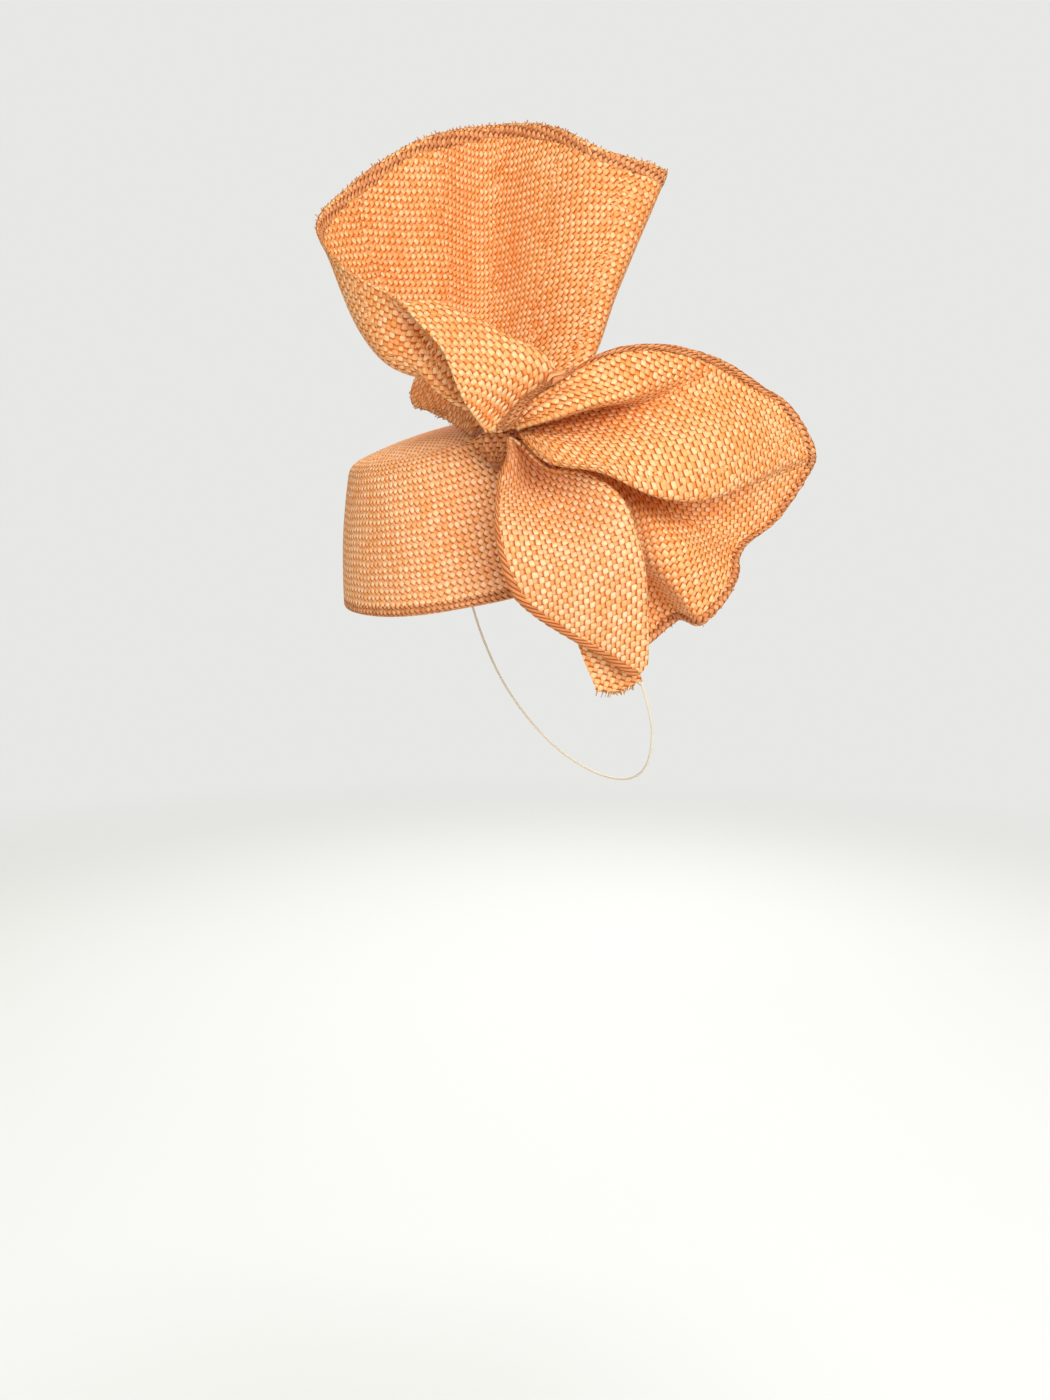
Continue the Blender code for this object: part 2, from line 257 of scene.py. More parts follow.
class Colours(PropertyGroup):
    """Colours of the finishes."""

    # The crest is partly rubbed wear and partly a painted highlight on each float
    straw_wear_and_highlight: colour("Straw crest", (1.0, 0.67, 0.40), "The rubbed, glossy top of a straw")
    straw_light: colour("Straw", (0.98, 0.49, 0.155), "Flat straw seen full on")
    straw_deep: colour("Straw, deep", (0.84, 0.25, 0.018), "The deepest tone of a flat straw")
    # Painted shade where a straw dips under another
    straw_dip_shade: colour("Straw edge", (0.54, 0.11, 0.003), "A straw where it dips under another")
    # The pale tones are a paler copy of the straw for the cap and leaf, painted light for the
    # whiter reflections they catch
    lit_wear_and_highlight: colour("Pale crest", (1.0, 0.68, 0.45), "The top of a straw on the cap and leaf")
    lit_straw: colour("Pale straw", (0.97, 0.51, 0.21), "Flat straw on the cap and leaf")
    lit_straw_deep: colour("Pale straw, deep", (0.84, 0.31, 0.06), "The deepest tone on cap and leaf")
    lit_dip_shade: colour("Pale straw edge", (0.54, 0.13, 0.012), "Where those straws dip")
    # Painted shade in the openings between the straws
    gap: colour("Gap Shade", (0.34, 0.055, 0.002), "The small openings between the straws")
    # The hem tones: hem and hem_deep are darker, painted shade of the hems, the turned rim and the
    # knot; rope is also their painted highlight
    rope: colour("Rope", (0.90, 0.44, 0.20), "The lightest straws of the hems")
    hem: colour("Hem", (0.72, 0.28, 0.085), "The straws of the hems")
    hem_deep: colour("Hem, deep", (0.48, 0.15, 0.04), "The deeper straws of the hems")
    # Painted shade in the grooves and dips of the hems
    hem_crevice_shade: colour("Hem edge", (0.24, 0.05, 0.008), "The grooves and dips of the hems")
    elastic: colour("Elastic", (0.86, 0.79, 0.66), "The cream braid of the elastic")
    floor: colour("Floor", (0.655, 0.695, 0.72), "The pale floor")
    air: colour("Surround", (0.80, 0.807, 0.783), "The pale surround")
    glow: colour("Glow", (0.82, 0.71, 0.55), "The warm light that comes from all round")


class FascinatorSettings(PropertyGroup):
    """All that a user may change."""

    straw: PointerProperty(type=StrawSizes)
    hem: PointerProperty(type=HemSizes)
    cap: PointerProperty(type=CapSizes)
    colours: PointerProperty(type=Colours)


class Graph:
    """Adds nodes to one node tree, so that a formula of the pattern reads as a line of code."""

    def __init__(self, tree):
        self.tree = tree

    def node(self, kind, **settings):
        made = self.tree.nodes.new(kind)
        for name, value in settings.items():
            setattr(made, name, value)
        return made

    def feed(self, socket, value):
        if isinstance(value, bpy.types.NodeSocket):
            self.tree.links.new(value, socket)
        else:
            socket.default_value = value

    def fed(self, made, sockets, values):
        """Feeds some sockets of a node in order, and returns the node's first result."""
        for socket, value in zip(sockets, values):
            self.feed(socket, value)
        return made.outputs[0]

    def maths(self, operation, *values):
        made = self.node("ShaderNodeMath", operation=operation)
        return self.fed(made, made.inputs, values)

    def plus(self, one, other):
        return self.maths("ADD", one, other)

    def minus(self, one, other):
        return self.maths("SUBTRACT", one, other)

    def times(self, one, other):
        return self.maths("MULTIPLY", one, other)

    def vector(self, operation, *values):
        made = self.node("ShaderNodeVectorMath", operation=operation)
        return self.fed(made, made.inputs, values)

    def scaled(self, vector, amount):
        made = self.node("ShaderNodeVectorMath", operation="SCALE")
        return self.fed(made, (made.inputs[0], made.inputs["Scale"]), (vector, amount))

    def split(self, value):
        made = self.node("ShaderNodeSeparateXYZ")
        self.feed(made.inputs[0], value)
        return made.outputs[0], made.outputs[1]

    def join(self, x, y):
        made = self.node("ShaderNodeCombineXYZ")
        return self.fed(made, made.inputs, (x, y))

    def choose(self, part, low, high):
        """A number between low and high."""
        made = self.node("ShaderNodeMix", data_type="FLOAT", clamp_factor=True)
        return self.fed(made, made.inputs[0:1] + made.inputs[2:4], (part, low, high))

    def tint(self, part, low, high):
        """A colour between low and high."""
        made = self.node("ShaderNodeMix", data_type="RGBA", clamp_factor=True)
        self.fed(made, made.inputs[0:1] + made.inputs[6:8], (part, low, high))
        return made.outputs[2]

    def ramp(self, value, low, high, to_low=0.0, to_high=1.0):
        """A smooth step between two values."""
        made = self.node("ShaderNodeMapRange", interpolation_type="SMOOTHSTEP")
        return self.fed(made, made.inputs, (value, low, high, to_low, to_high))

    def noise(self, place, scale, detail=2.0, colourful=False):
        made = self.node("ShaderNodeTexNoise", noise_dimensions="2D")
        self.feed(made.inputs["Vector"], place)
        made.inputs["Scale"].default_value = scale
        made.inputs["Detail"].default_value = detail
        return made.outputs["Color" if colourful else "Fac"]

    def stray(self, place, scale, reach):
        """A shift aside that changes from place to place."""
        centred = self.vector("SUBTRACT", self.noise(place, scale, 1.0, True), (0.5, 0.5, 0.5))
        return self.scaled(centred, reach)

    def chance(self, x, y):
        """A random number for each cell."""
        made = self.node("ShaderNodeTexWhiteNoise", noise_dimensions="2D")
        self.feed(made.inputs["Vector"], self.join(x, y))
        return made.outputs["Value"]


def new_group(name, inputs):
    """A pattern group with named sockets; returns its graph, its inputs and its results."""
    tree = bpy.data.node_groups.new(name, "ShaderNodeTree")
    for socket_name, kind, default in inputs:
        made = tree.interface.new_socket(socket_name, in_out="INPUT", socket_type=kind)
        if default is not None:
            made.default_value = default
    results = ("Colour", "Color"), ("Height", "Float"), ("Roughness", "Float")
    for socket_name, kind in results:
        tree.interface.new_socket(socket_name, in_out="OUTPUT", socket_type=f"NodeSocket{kind}")
    graph = Graph(tree)
    return graph, graph.node("NodeGroupInput").outputs, graph.node("NodeGroupOutput").inputs


# How the weave is drawn. Lengths and noise scales are in pitches, the rest are shares.
DRIFT_SCALE = 0.16
DRIFT_REACH = 2.0  # how far the straws drift, in wanders
JERK_SCALE = 0.8
JERK_REACH = 0.4
STRAW_WIDTHS = (0.9, 1.06)  # the narrowest and the widest straw, in covers
WIDTH_ACROSS = 1.1  # the straws that run across the cloth are wider
WIDTH_UP = 0.86  # than those that run up it
STRAW_EDGE = 0.03  # how soft a straw's edges are
STRAW_CROWN = 0.12  # how much higher the middle of a straw is than its edges
CREASES = 7.0  # fine creases that lie across each straw
CREASE_LENGTH = 0.5
CREASE_RELIEF = 0.16
TONE_OF_STRAW = 0.35
TONE_OF_FLOAT = 0.55
TONE_OF_CREASE = 0.9
TONE_OF_PLACE = 0.9
PLACE_SCALE = 0.09
CREST_FADE = (0.7, 0.42)  # from where the crest's painted highlight is gone to where it is full
CREST_SHINE = (0.85, 0.25)  # the painted highlight of the brightest and the dullest float
HIGHLIGHT_BY_WAY = (0.4, 0.85)  # painted highlight on straws up the cloth, and on those across it, which catch more light
SHADE_RUN = (-0.08, 0.36)  # from the middle of a cell towards the straw that shades it
DIP_RUN = (0.46, 0.74)  # from where a straw starts to dip to where its painted shade is darkest
# how dark the painted shade of a dip is
DIP_SHADE = 0.7
CREASE_ROUGHNESS = 0.25
UNDER_ROUGHNESS = 0.7
OVER_ROUGHNESS = 0.4

# How the straws wrapped round a hem are drawn
WRAP_FIBRES = 6.0
WRAP_TONE_OF_STRAW = 0.55
WRAP_TONE_OF_FIBRE = 0.5
WRAP_GROOVE = (0.24, 0.5)  # from the middle of a straw to the groove beside it
WRAP_FIBRE_RELIEF = 0.3
WRAP_RELIEF = 0.0002
RUBBED_ROUGHNESS = 0.42

# How light goes into straw
STRAW_SPECULAR = 0.3
LIGHT_THROUGH = 0.35
LIGHT_RADIUS = (1.0, 0.5, 0.15)
LIGHT_DEPTH = 0.0016

HEM_CLOTH_PITCH = 0.82  # the cloth of the hems, darkened with painted shade, is drawn together, as a share of the pitch


def straw_weave_group():
    """Plain weave of flat straws, over one and under one, read from the cloth's flat position."""
    known = bpy.data.node_groups.get("straw weave")
    if known:
        return known
    graph, given, result = new_group(
        "straw weave",
        (
            ("Flat", "NodeSocketVector", None),
            ("Pitch", "NodeSocketFloat", 0.0025),
            ("Cover", "NodeSocketFloat", 0.88),
            ("Wander", "NodeSocketFloat", 0.3),
            ("Upright Shade", "NodeSocketFloat", 0.3),
            ("Crest", "NodeSocketColor", (1.0, 0.8, 0.5, 1)),
            ("Straw", "NodeSocketColor", (0.9, 0.5, 0.2, 1)),
            ("Deep", "NodeSocketColor", (0.8, 0.4, 0.1, 1)),
            ("Edge", "NodeSocketColor", (0.6, 0.2, 0.05, 1)),
            ("Gap Shade", "NodeSocketColor", (0.4, 0.1, 0.02, 1)),
        ),
    )
    wander = given["Wander"]
    place = graph.scaled(given["Flat"], graph.maths("DIVIDE", 1.0, given["Pitch"]))
    drift = graph.stray(place, DRIFT_SCALE, graph.times(wander, DRIFT_REACH))
    jerk = graph.stray(place, JERK_SCALE, graph.times(wander, JERK_REACH))
    x, y = graph.split(graph.vector("ADD", place, graph.vector("ADD", drift, jerk)))
    column = graph.maths("FLOOR", x)
    row = graph.maths("FLOOR", y)
    in_x = graph.minus(graph.minus(x, column), 0.5)
    in_y = graph.minus(graph.minus(y, row), 0.5)

    # In every second cell the straw on top runs up the cloth
    upright = graph.maths("FLOORED_MODULO", graph.plus(column, row), 2.0)
    upright = graph.maths("GREATER_THAN", upright, 0.5)
    across = graph.maths("ABSOLUTE", graph.choose(upright, in_y, in_x))
    along = graph.maths("ABSOLUTE", graph.choose(upright, in_x, in_y))

    chance_x = graph.chance(column, 0.37)
    chance_y = graph.chance(0.73, row)
    chance_here = graph.chance(column, row)
    over_chance = graph.choose(upright, chance_y, chance_x)
    under_chance = graph.choose(upright, chance_x, chance_y)
    half = graph.times(given["Cover"], 0.5)

    def half_width(straw_chance, *by_way):
        """Half the width of a straw, by its own chance and by the way it runs."""
        own = graph.times(half, graph.choose(straw_chance, *STRAW_WIDTHS))
        return graph.times(own, graph.choose(upright, *by_way))

    half_over = half_width(over_chance, WIDTH_ACROSS, WIDTH_UP)
    half_under = half_width(under_chance, WIDTH_UP, WIDTH_ACROSS)
    on_top = graph.ramp(graph.minus(half_over, across), -STRAW_EDGE, STRAW_EDGE)
    below = graph.ramp(graph.minus(half_under, along), -STRAW_EDGE, STRAW_EDGE)
    seen = graph.maths("MAXIMUM", on_top, below)

    # How far the straw that shows is from the middle of its own float, and which way it runs
    travel = graph.choose(on_top, graph.minus(1.0, across), along)
    runs_across = graph.choose(on_top, upright, graph.minus(1.0, upright))
    runs_up = graph.minus(1.0, runs_across)
    wave = graph.maths("COSINE", graph.times(travel, math.pi))
    flatness = graph.maths("POWER", graph.maths("DIVIDE", across, half_over), 4.0)
    height = graph.maths("MULTIPLY_ADD", wave, 0.5, 0.5)
    height = graph.times(graph.minus(height, graph.times(flatness, STRAW_CROWN)), seen)

    # Fine creases lie across each straw
    on_up = graph.join(graph.times(x, CREASE_LENGTH), graph.times(y, CREASES))
    on_across = graph.join(graph.times(x, CREASES), graph.times(y, CREASE_LENGTH))
    crease = graph.choose(runs_across, graph.noise(on_up, 1.0), graph.noise(on_across, 1.0))
    crease = graph.minus(crease, 0.5)
    graph.feed(result["Height"], graph.plus(height, graph.times(crease, CREASE_RELIEF)))

    tone = graph.times(graph.choose(on_top, under_chance, over_chance), TONE_OF_STRAW)
    tone = graph.plus(tone, graph.times(chance_here, TONE_OF_FLOAT))
    tone = graph.plus(tone, graph.times(crease, TONE_OF_CREASE))
    broad = graph.minus(graph.noise(place, PLACE_SCALE), 0.5)
    tone = graph.plus(tone, graph.times(broad, TONE_OF_PLACE))
    # Painted shade: the straws that run up the cloth are drawn darker, as they catch less light
    tone = graph.plus(tone, graph.times(runs_up, given["Upright Shade"]))
    body = graph.tint(tone, given["Straw"], given["Deep"])
    # A painted highlight on the crest of each float, partly rubbed wear; straws that run across the
    # cloth catch more of it
    wear_and_highlight = graph.times(graph.ramp(travel, *CREST_FADE), graph.choose(chance_here, *CREST_SHINE))
    wear_and_highlight = graph.times(wear_and_highlight, graph.choose(runs_across, *HIGHLIGHT_BY_WAY))
    body = graph.tint(wear_and_highlight, body, given["Crest"])

    # Painted shade: the straws that run up the cloth are shaded where they come out from below the
    # others, and each straw darkens where it dips under another
    shaded = graph.times(upright, graph.ramp(in_y, *SHADE_RUN))
    dip_shade = graph.times(graph.ramp(travel, *DIP_RUN), DIP_SHADE)
    body = graph.tint(graph.maths("MAXIMUM", dip_shade, shaded), body, given["Edge"])
    # The openings between the straws are painted shade
    graph.feed(result["Colour"], graph.tint(seen, given["Gap Shade"], body))
    rough = graph.choose(on_top, UNDER_ROUGHNESS, OVER_ROUGHNESS)
    graph.feed(result["Roughness"], graph.plus(rough, graph.times(crease, CREASE_ROUGHNESS)))
    return graph.tree


def wrapped_straw_group():
    """Straws wrapped slantwise round a hem, read from the hem's length and its turn."""
    known = bpy.data.node_groups.get("wrapped straw")
    if known:
        return known
    graph, given, result = new_group(
        "wrapped straw",
        (
            ("Flat", "NodeSocketVector", None),
            ("Straw", "NodeSocketColor", (0.9, 0.5, 0.2, 1)),
            ("Deep", "NodeSocketColor", (0.8, 0.4, 0.1, 1)),
            ("Edge", "NodeSocketColor", (0.6, 0.2, 0.05, 1)),
        ),
    )
    turn, place = graph.split(given["Flat"])
    strand = graph.chance(graph.maths("FLOOR", turn), 0.5)
    in_strand = graph.maths("ABSOLUTE", graph.minus(graph.maths("FRACT", turn), 0.5))
    streak = graph.noise(graph.join(graph.times(turn, WRAP_FIBRES), place), 1.0)
    tone = graph.times(strand, WRAP_TONE_OF_STRAW)
    tone = graph.plus(tone, graph.times(streak, WRAP_TONE_OF_FIBRE))
    body = graph.tint(tone, given["Straw"], given["Deep"])
    # Painted shade in the groove between wrapped straws; the groove is also real relief
    groove = graph.ramp(in_strand, *WRAP_GROOVE)
    graph.feed(result["Colour"], graph.tint(groove, body, given["Edge"]))
    graph.feed(result["Height"], graph.minus(graph.times(streak, WRAP_FIBRE_RELIEF), groove))
    rough = graph.choose(groove, RUBBED_ROUGHNESS, UNDER_ROUGHNESS)
    graph.feed(result["Roughness"], rough)
    return graph.tree


def rgba(value):
    return (*value, 1.0)


def new_material(name):
    """An empty material; returns it with its graph and its shader."""
    material = bpy.data.materials.new(name)
    material.use_nodes = True
    return material, Graph(material.node_tree), material.node_tree.nodes["Principled BSDF"]


def add_relief(graph, shader, height, depth):
    bump = graph.node("ShaderNodeBump")
    bump.inputs["Distance"].default_value = depth
    graph.feed(bump.inputs["Height"], height)
    graph.feed(shader.inputs["Normal"], bump.outputs["Normal"])


def straw_material(name, group, values, relief):
    """A straw finish whose colour, roughness and relief come from a pattern on the flat map."""
    known = bpy.data.materials.get(name)
    if known:
        return known
    material, graph, shader = new_material(name)
    pattern = graph.node("ShaderNodeGroup", node_tree=group)
    flat = graph.node("ShaderNodeUVMap", uv_map="flat")
    graph.feed(pattern.inputs["Flat"], flat.outputs["UV"])
    for socket, value in values.items():
        graph.feed(pattern.inputs[socket], value)
    graph.feed(shader.inputs["Base Color"], pattern.outputs["Colour"])
    graph.feed(shader.inputs["Roughness"], pattern.outputs["Roughness"])
    add_relief(graph, shader, pattern.outputs["Height"], relief)
    shader.inputs["Specular IOR Level"].default_value = STRAW_SPECULAR
    shader.inputs["Subsurface Weight"].default_value = LIGHT_THROUGH
    shader.inputs["Subsurface Radius"].default_value = LIGHT_RADIUS
    shader.inputs["Subsurface Scale"].default_value = LIGHT_DEPTH
    return material


def straw_cloth(settings, kind="plain"):
    """The woven cloth: plain, a paler copy with painted light for the cap and leaf, or darker with
    painted shade for hems, the turned rim and the knot.
    """
    tones = settings.colours
    wear_and_highlight, light, deep, edge = {
        "plain": (tones.straw_wear_and_highlight, tones.straw_light, tones.straw_deep, tones.straw_dip_shade),
        "pale": (tones.lit_wear_and_highlight, tones.lit_straw, tones.lit_straw_deep, tones.lit_dip_shade),
        "worn": (tones.rope, tones.hem, tones.hem_deep, tones.hem_crevice_shade),
    }[kind]
    straw = settings.straw
    values = {
        "Pitch": straw.pitch * (HEM_CLOTH_PITCH if kind == "worn" else 1.0),
        "Cover": straw.cover,
        "Wander": straw.wander,
        "Upright Shade": straw.upright_shade,
        "Crest": rgba(wear_and_highlight),
        "Straw": rgba(light),
        "Deep": rgba(deep),
        "Edge": rgba(edge),
        "Gap Shade": rgba(tones.gap),
    }
    return straw_material(f"{kind} straw cloth", straw_weave_group(), values, straw.relief)


def hem_straw(settings, worn):
    """Single straws: light loose ones, or darker ones with painted shade for a hem and its frays.
    """
    tones = settings.colours
    values = {
        "Straw": rgba(tones.hem if worn else tones.rope),
        "Deep": rgba(tones.hem_deep if worn else tones.hem),
        "Edge": rgba(tones.hem_crevice_shade),
    }
    name = "worn hem straw" if worn else "rope straw"
    return straw_material(name, wrapped_straw_group(), values, WRAP_RELIEF)


BRAID_TURNS = ((1.0, 1.0, 1.6), (-1.0, -1.0, 1.6))  # the two ways that the braid's threads slant
BRAID_WAVES = 4200.0  # radians for each metre along a slant
BRAID_EDGE = (-0.6, 0.6)  # from a groove of the braid to the top of a thread
BRAID_SHADE = 0.72
BRAID_RELIEF = 0.00008


def cream_braid(settings):
    """The elastic's fine braid, as slanting lines that cross on a cream ground."""
    material, graph, shader = new_material("cream braid")
    place = graph.node("ShaderNodeTexCoord").outputs["Object"]
    waves = []
    for turn in BRAID_TURNS:
        slant = graph.vector("DOT_PRODUCT", place, turn).node.outputs["Value"]
        waves.append(graph.maths("SINE", graph.times(slant, BRAID_WAVES)))
    ribs = graph.maths("MAXIMUM", *waves)
    ground = rgba(settings.colours.elastic)
    shade = rgba([BRAID_SHADE * part for part in settings.colours.elastic])
    braided = graph.tint(graph.ramp(ribs, *BRAID_EDGE), shade, ground)
    graph.feed(shader.inputs["Base Color"], braided)
    add_relief(graph, shader, ribs, BRAID_RELIEF)
    shader.inputs["Roughness"].default_value = 0.75
    return material


def marks_along(stops):
    """Where each stop falls on its run, from 0 to 1, by the distances between the stops."""
    marks = [0.0]
    for here, after in zip(stops, stops[1:]):
        marks.append(marks[-1] + max((after - here).length, 1e-3))
    return [mark / marks[-1] for mark in marks]


def point_on(stops, marks, place):
    """The point at a place from 0 to 1 on the smooth curve through the stops."""
    steps = [(b - a) / (n - m) for a, b, m, n in zip(stops, stops[1:], marks, marks[1:])]

    def slope(i):
        if i == 0 or i == len(stops) - 1:
            return steps[min(i, len(steps) - 1)]
        before = marks[i] - marks[i - 1]
        after = marks[i + 1] - marks[i]
        return (steps[i - 1] * after + steps[i] * before) / (before + after)

    i = min(max(bisect_right(marks, place) - 1, 0), len(stops) - 2)
    run = marks[i + 1] - marks[i]
    u = (place - marks[i]) / run
    return (
        stops[i] * (2 * u**3 - 3 * u**2 + 1)
        + slope(i) * (run * (u**3 - 2 * u**2 + u))
        + stops[i + 1] * (3 * u**2 - 2 * u**3)
        + slope(i + 1) * (run * (u**3 - u**2))
    )


def trim_way(across, up, out):
    """A direction in the object's frame, from the bow's own directions."""
    return Matrix.Rotation(TRIM_TURN, 3, "Z") @ Vector((across, -out, up))


TRIM = Matrix.Translation(trim_way(KNOT_ACROSS, KNOT_UP, KNOT_OUT) * MM)
TRIM @= Matrix.Rotation(TRIM_TURN, 4, "Z")


def trim_point(across, up, out):
    return TRIM @ (Vector((across, -out, up)) * MM)


class Drape:
    """One piece of cloth: its surface at evenly spaced places, and where each lies when flat."""

    def __init__(self, sections, patches, stations, steps):
        rows = [[trim_point(*stop) for stop in section] for section in sections]
        ring = [(row[-1] + row[-2]) / 2 for row in rows]
        self.marks = marks_along(ring)
        self.stations = stations
        self.steps = steps
        columns = list(zip(*rows))
        self.points = []
        for i in range(stations + 1):
            line = [point_on(column, self.marks, i / stations) for column in columns]
            marks = marks_along(line)
            self.points.append([point_on(line, marks, j / steps) for j in range(steps + 1)])
        self.patches = self.laid_flat(patches)

    def station(self, section):
        """The number of the line that lies at a section, or between two."""
        whole = min(int(section), len(self.marks) - 2)
        mark = self.marks[whole] + (section - whole) * (self.marks[whole + 1] - self.marks[whole])
        return mark * self.stations

    def share(self, section):
        """The same, as a share of the whole way."""
        return self.station(section) / self.stations

    def runs(self, i):
        """How far each place on a line is from its root, along the cloth."""
        line = self.points[i]
        runs = [0.0]
        for here, after in zip(line, line[1:]):
            runs.append(runs[-1] + (after - here).length)
        return runs

    def all_runs(self):
        return [self.runs(i) for i in range(self.stations + 1)]

    def rolls(self, runs):
        """How each line rolls on to the next on flat cloth: aside, ahead and the turn."""
        made = []
        for i in range(self.stations):
            fits = []
            for j in range(1, self.steps + 1):
                step = self.points[i + 1][j] - self.points[i][j]
                outward = self.outward(i, j)
                ahead = step.dot(outward)
                aside = (step - outward * ahead).length
                run = runs[i][j]
                fits.append((run / runs[i][-1], run, aside, ahead - (runs[i + 1][j] - run)))
            total = sum(weight for weight, *_ in fits)
            mid_run = sum(weight * run for weight, run, _, _ in fits) / total
            mid_aside = sum(weight * aside for weight, _, aside, _ in fits) / total
            ahead = sum(weight * value for weight, _, _, value in fits) / total
            spread = sum(weight * (run - mid_run) ** 2 for weight, run, _, _ in fits)
            turn = sum(w * (run - mid_run) * (aside - mid_aside) for w, run, aside, _ in fits)
            turn /= spread
            made.append((mid_aside - turn * mid_run, ahead, turn))
        return made

    def laid_flat(self, patches):
        """Unrolls each patch of the cloth from its middle, so that the straws keep their pitch."""
        runs = self.all_runs()
        rolls = self.rolls(runs)
        laid = []
        for patch in patches:
            start = self.station(patch.start)
            stop = self.station(patch.stop)
            first = max(0, math.floor(start) - PATCH_OVERLAP)
            last = min(self.stations, math.ceil(stop) + PATCH_OVERLAP)
            middle = round((start + stop) / 2)
            rows = {}
            for way in (1, -1):
                turn = math.radians(patch.turn)
                base = Vector((0.0, 0.0))
                i = middle
                while True:
                    out = Vector((math.sin(turn), math.cos(turn)))
                    rows[i] = [base + out * run for run in runs[i]]
                    after = i + way
                    if not first <= after <= last:
                        break
                    aside, ahead, bend = rolls[min(i, after)]
                    half = turn + way * bend / 2
                    aside *= way * patch.fullness
                    base = base + Vector((math.cos(half), -math.sin(half))) * aside
                    base = base + Vector((math.sin(half), math.cos(half))) * (way * ahead)
                    turn += way * bend * patch.fullness
                    i = after
            laid.append((start, stop, rows))
        return laid

    def flat_rows(self, i, j):
        """The flat places of the patch that covers the face after line i; patches meet unevenly."""
        place = i + 0.5 + 2.5 * math.sin(j * 2.4) * math.sin(j * 0.9 + 1.0)
        for start, stop, rows in self.patches:
            if place < stop:
                break
        return rows

    def outward(self, i, j):
        """The direction along the section at a place, away from the root."""
        line = self.points[i]
        return (line[min(j + 1, self.steps)] - line[max(j - 1, 0)]).normalized()

    def sideways(self, i, j):
        """The direction from section to section at a place."""
        after = self.points[min(i + 1, self.stations)][j]
        return (after - self.points[max(i - 1, 0)][j]).normalized()

    def normal(self, i, j):
        return self.sideways(i, j).cross(self.outward(i, j)).normalized()

    def area(self):
        total = 0.0
        for i in range(self.stations):
            for j in range(self.steps):
                one = self.points[i + 1][j] - self.points[i][j + 1]
                two = self.points[i + 1][j + 1] - self.points[i][j]
                total += one.cross(two).length / 2
        return total


def add_piece(name, shape, material, slot, *nodes):
    """Makes a shape an object that rides on the one body and replaces CAD nodes."""
    mesh = bpy.data.meshes.new(name)
    shape.to_mesh(mesh)
    shape.free()
    mesh.materials.append(material)
    mesh.shade_smooth()
    piece = bpy.data.objects.new(name, mesh)
    bpy.context.scene.collection.objects.link(piece)
    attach(piece, BODY)
    if nodes:
        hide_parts(*nodes)
    return piece


def add_wall(piece, thickness):
    wall = piece.modifiers.new("wall", "SOLIDIFY")
    wall.thickness = thickness
    wall.offset = 0.0


PLEAT_HEIGHT = 0.0008


def pleats(drape, count, height, reach):
    """Small pleats that run out from the knot and fade."""
    runs = drape.all_runs()

    def rise(i, j):
        fade = math.exp(-((runs[i][j] / reach) ** 2))
        phase = math.tau * count * i / drape.stations + 2.0 * math.sin(i * 0.07)
        return height * fade * math.sin(phase)

    return rise


CLOTH_RIPPLES = 45.0  # ripples for each metre, about
CROWN_RIPPLES = 30.0


def cloth_piece(name, drape, settings, node, rise=None, kind="plain"):
    """The woven cloth itself: a fine sheet on the drape, a little uneven, with its flat map."""
    sheet = bmesh.new()
    bmesh.ops.create_grid(sheet, x_segments=drape.stations, y_segments=drape.steps, size=0.5)
    flat = sheet.loops.layers.uv.new("flat")

    def place(co):
        return round((co.x + 0.5) * drape.stations), round((co.y + 0.5) * drape.steps)

    for face in sheet.faces:
        corners = [place(loop.vert.co) for loop in face.loops]
        rows = drape.flat_rows(min(i for i, _ in corners), min(j for _, j in corners))
        for loop, (i, j) in zip(face.loops, corners):
            loop[flat].uv = rows[i][j]
    for vert in sheet.verts:
        i, j = place(vert.co)
        point = drape.points[i][j]
        swell = noise.noise(point * CLOTH_RIPPLES) * settings.straw.ripple
        if rise:
            swell += rise(i, j)
        vert.co = point + drape.normal(i, j) * swell
    piece = add_piece(name, sheet, straw_cloth(settings, kind), "straw_cloth", node)
    add_wall(piece, settings.straw.wall)
    return piece


Edge = namedtuple("Edge", "point outward normal")


def resampled(edges, spacing):
    """The same edge with its places evenly spaced."""
    places, outs, ups = zip(*edges)
    marks = marks_along(places)
    run = sum((b - a).length for a, b in zip(places, places[1:]))
    count = max(8, round(run / spacing))
    made = []
    for k in range(count + 1):
        place, outward, normal = (point_on(line, marks, k / count) for line in (places, outs, ups))
        made.append(Edge(place, outward.normalized(), normal.normalized()))
    return made, run


def between(place, stops):
    """A value between those that are given at some places, in order."""
    for (low, low_value), (high, high_value) in zip(stops, stops[1:]):
        if place <= high:
            part = (place - low) / (high - low)
            return low_value + (high_value - low_value) * part
    return stops[-1][1]


HEM_SPACING = 0.0007
HEM_SIDES = 20
HEM_STRANDS = 4
HEM_BIAS = Matrix.Rotation(math.radians(38.0), 2)
HEM_TAPER = 0.003
HEM_TIP = 0.15  # what is left of the width at an end
HEM_GIRTH = 2.2  # the cloth round a hem, in widths
WRAP_LUMPS = 160.0  # lumps for each metre of a wrapped hem, about
WRAP_LUMP = 0.16  # how much they swell it
ROPE_LUMPS = 420.0  # the same for a hem left as woven
ROPE_LUMP = 0.22


